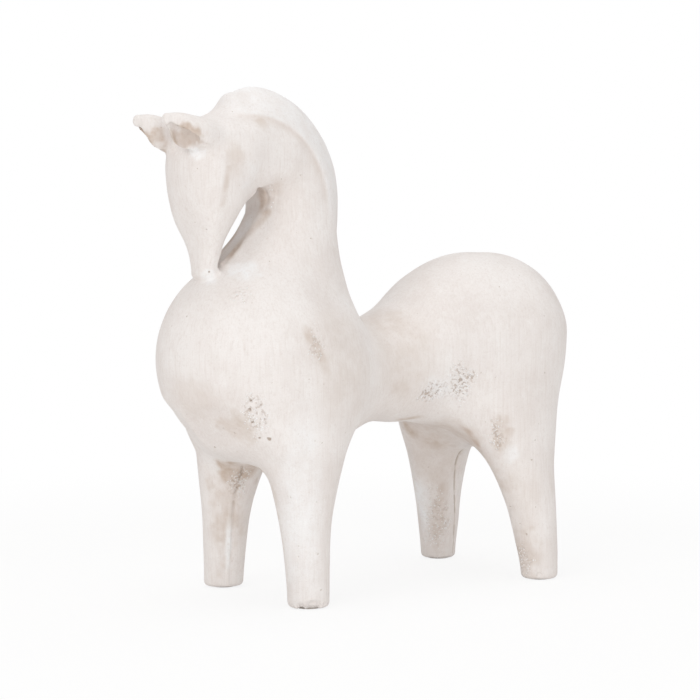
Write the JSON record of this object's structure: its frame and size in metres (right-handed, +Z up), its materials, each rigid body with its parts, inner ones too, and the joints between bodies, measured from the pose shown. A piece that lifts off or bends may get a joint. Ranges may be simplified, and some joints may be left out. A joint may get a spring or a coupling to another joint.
{
  "type": "cement horse sculpture",
  "caption": "Free-standing stylised horse in chalky cement with a ball chest, arched neck, tucked head and plain tapered legs, made as a tabletop or shelf ornament.",
  "frame": {"origin": "bottom centre of the bounding box, on the floor between the four feet", "axes": "+Z up, the horse faces -Y, +X is the horse's left side"},
  "size_m": [0.1552, 0.3726, 0.379],
  "materials": {
    "cement_skin": "chalky matte off-white cement, wiped and slightly pitted",
    "mortar": "grey-beige bedding mortar",
    "foam": "white expanded foam",
    "steel_bar": "plain steel bar, slightly rusted",
    "tie_wire": "annealed dark tie wire",
    "felt": "dark grey-brown felt"
  },
  "bodies": {
    "root": {"left_body_half": "cement_skin", "right_body_half": "cement_skin", "head_casting": "cement_skin", "neck_mortar_bed": "mortar", "left_foam_core": "foam", "right_foam_core": "foam", "spine_bar": "steel_bar", "neck_bar": "steel_bar", "front_leg_hoop": "steel_bar", "rear_leg_hoop": "steel_bar", "front_tie_wire": "tie_wire", "rear_tie_wire": "tie_wire", "neck_tie_wire": "tie_wire", "front_left_foot_pad": "felt", "front_right_foot_pad": "felt", "rear_left_foot_pad": "felt", "rear_right_foot_pad": "felt"}
  },
  "joints": []
}
